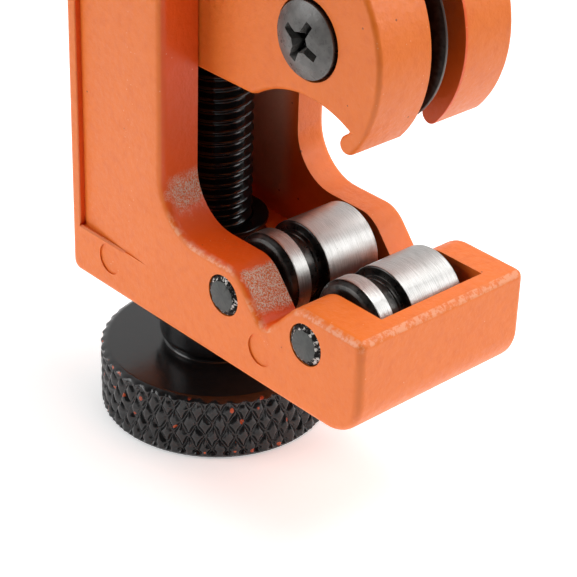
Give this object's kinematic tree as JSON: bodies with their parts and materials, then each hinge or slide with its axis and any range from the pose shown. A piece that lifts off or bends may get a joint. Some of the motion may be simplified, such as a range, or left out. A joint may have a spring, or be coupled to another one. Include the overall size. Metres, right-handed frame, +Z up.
{
  "type": "pipe cutter",
  "caption": "Mini screw-feed pipe cutter: C-shaped orange frame, knurled black knob, grooved steel rollers and a cutting wheel on a sliding head.",
  "frame": {"origin": "centre of the knob's flat lower face, on the feed screw's axis, where the tool stands", "axes": "+Z up along the feed screw from the knob to the closed end of the frame, +X from the spine towards the rollers, Y across the tool along the roller and wheel axes"},
  "size_m": [0.0376, 0.0208, 0.0679],
  "materials": {
    "orange_enamel": "satin baked enamel over a zinc die-casting",
    "black_oxide": "semi-gloss black oxide steel",
    "roller_steel": "ground and polished steel",
    "pin_steel": "plain dark steel, staked ends",
    "tool_steel": "hardened dark tool steel with a ground edge",
    "brass": "turned brass",
    "bronze": "sintered bronze"
  },
  "bodies": {
    "frame_body": {"frame": "orange_enamel", "lower_bush": "bronze", "top_bush": "bronze", "roller_pin_rear": "pin_steel", "roller_pin_front": "pin_steel"},
    "screw_body": {"feed_screw": "black_oxide", "knob": "black_oxide", "knob_pin": "pin_steel", "thrust_washer": "black_oxide", "screw_collar": "black_oxide"},
    "slide_body": {"cutter_slide": "orange_enamel", "slide_nut": "brass", "wheel_screw": "black_oxide", "wheel_bush": "roller_steel", "wheel_washer_near": "roller_steel", "wheel_washer_far": "roller_steel", "wheel_lock_washer": "black_oxide", "wheel_nut": "black_oxide"},
    "wheel_body": {"cutter_wheel": "tool_steel"},
    "roller_rear_body": {"roller_rear": "roller_steel"},
    "roller_front_body": {"roller_front": "roller_steel"}
  },
  "joints": [
    {"name": "feed_turn", "type": "hinge", "parent": "frame_body", "child": "screw_body", "pos_m": [0, 0, 0], "axis": [0, 0, 1], "range_deg": [-3790, 3790]},
    {"name": "slide_travel", "type": "slide", "parent": "frame_body", "child": "slide_body", "axis": [0, 0, 1], "range_m": [-0.0105, 0.0105]},
    {"name": "wheel_spin", "type": "hinge", "parent": "slide_body", "child": "wheel_body", "pos_m": [0.0159, 0.00135, 0.04175], "axis": [0, 1, 0], "continuous": true},
    {"name": "roller_rear_spin", "type": "hinge", "parent": "frame_body", "child": "roller_rear_body", "pos_m": [0.01135, 0, 0.0191], "axis": [0, 1, 0], "continuous": true},
    {"name": "roller_front_spin", "type": "hinge", "parent": "frame_body", "child": "roller_front_body", "pos_m": [0.0211, 0, 0.0191], "axis": [0, 1, 0], "continuous": true}
  ],
  "couplings": [
    {"joint": "feed_turn", "follows": "slide_travel", "rad_per_m": -6283.2}
  ]
}
